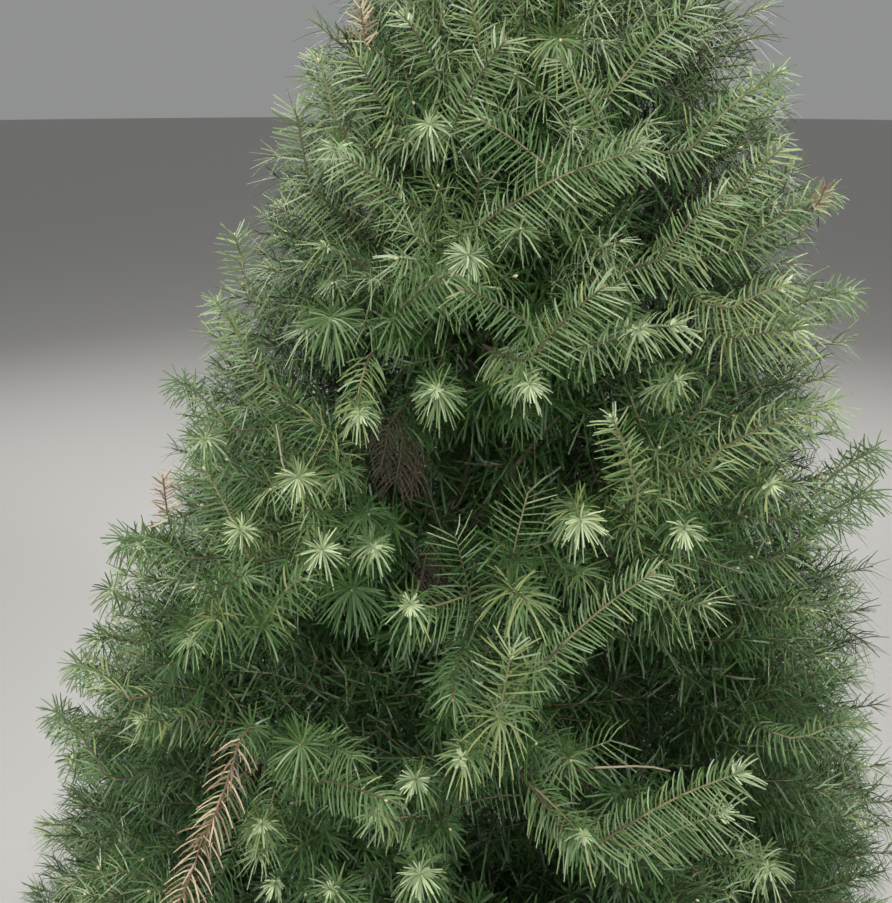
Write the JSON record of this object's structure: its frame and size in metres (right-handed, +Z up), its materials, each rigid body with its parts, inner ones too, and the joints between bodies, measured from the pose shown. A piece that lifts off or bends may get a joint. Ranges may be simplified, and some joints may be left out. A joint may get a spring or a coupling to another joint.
{
  "type": "christmas tree",
  "caption": "Young conifer grown as a Christmas tree: tapering trunk, tiers of boughs and a full bullet-shaped crown of soft slender needles, rooted in level ground.",
  "frame": {"origin": "centre of the flat cut under the trunk, at ground level", "axes": "+Z up the trunk, -Y towards the side that the picture shows, +X to its right, towards which the trunk leans a little"},
  "size_m": [1.4131, 1.4099, 2.05],
  "materials": {
    "trunk_bark": "rough grey-brown bark",
    "bough_bark": "smooth brown bark",
    "needles": "soft green needles"
  },
  "bodies": {
    "root": {"trunk": "trunk_bark", "bough_1_1": "bough_bark", "bough_1_2": "bough_bark", "bough_1_3": "bough_bark", "bough_1_4": "bough_bark", "bough_1_5": "bough_bark", "bough_2_1": "bough_bark", "bough_2_2": "bough_bark", "bough_2_3": "bough_bark", "bough_2_4": "bough_bark", "bough_2_5": "bough_bark", "bough_2_6": "bough_bark", "bough_3_1": "bough_bark", "bough_3_2": "bough_bark", "bough_3_3": "bough_bark", "bough_3_4": "bough_bark", "bough_3_5": "bough_bark", "bough_4_1": "bough_bark", "bough_4_2": "bough_bark", "bough_4_3": "bough_bark", "bough_4_4": "bough_bark", "bough_4_5": "bough_bark", "bough_5_1": "bough_bark", "bough_5_2": "bough_bark", "bough_5_3": "bough_bark", "bough_5_4": "bough_bark", "bough_6_1": "bough_bark", "bough_6_2": "bough_bark", "bough_6_3": "bough_bark", "bough_6_4": "bough_bark", "foliage_1_1": "needles", "foliage_1_2": "needles", "foliage_1_3": "needles", "foliage_1_4": "needles", "foliage_1_5": "needles", "foliage_2_1": "needles", "foliage_2_2": "needles", "foliage_2_3": "needles", "foliage_2_4": "needles", "foliage_2_5": "needles", "foliage_2_6": "needles", "foliage_3_1": "needles", "foliage_3_2": "needles", "foliage_3_3": "needles", "foliage_3_4": "needles", "foliage_3_5": "needles", "foliage_4_1": "needles", "foliage_4_2": "needles", "foliage_4_3": "needles", "foliage_4_4": "needles", "foliage_4_5": "needles", "foliage_5_1": "needles", "foliage_5_2": "needles", "foliage_5_3": "needles", "foliage_5_4": "needles", "foliage_6_1": "needles", "foliage_6_2": "needles", "foliage_6_3": "needles", "foliage_6_4": "needles", "foliage_top": "needles"}
  },
  "joints": []
}
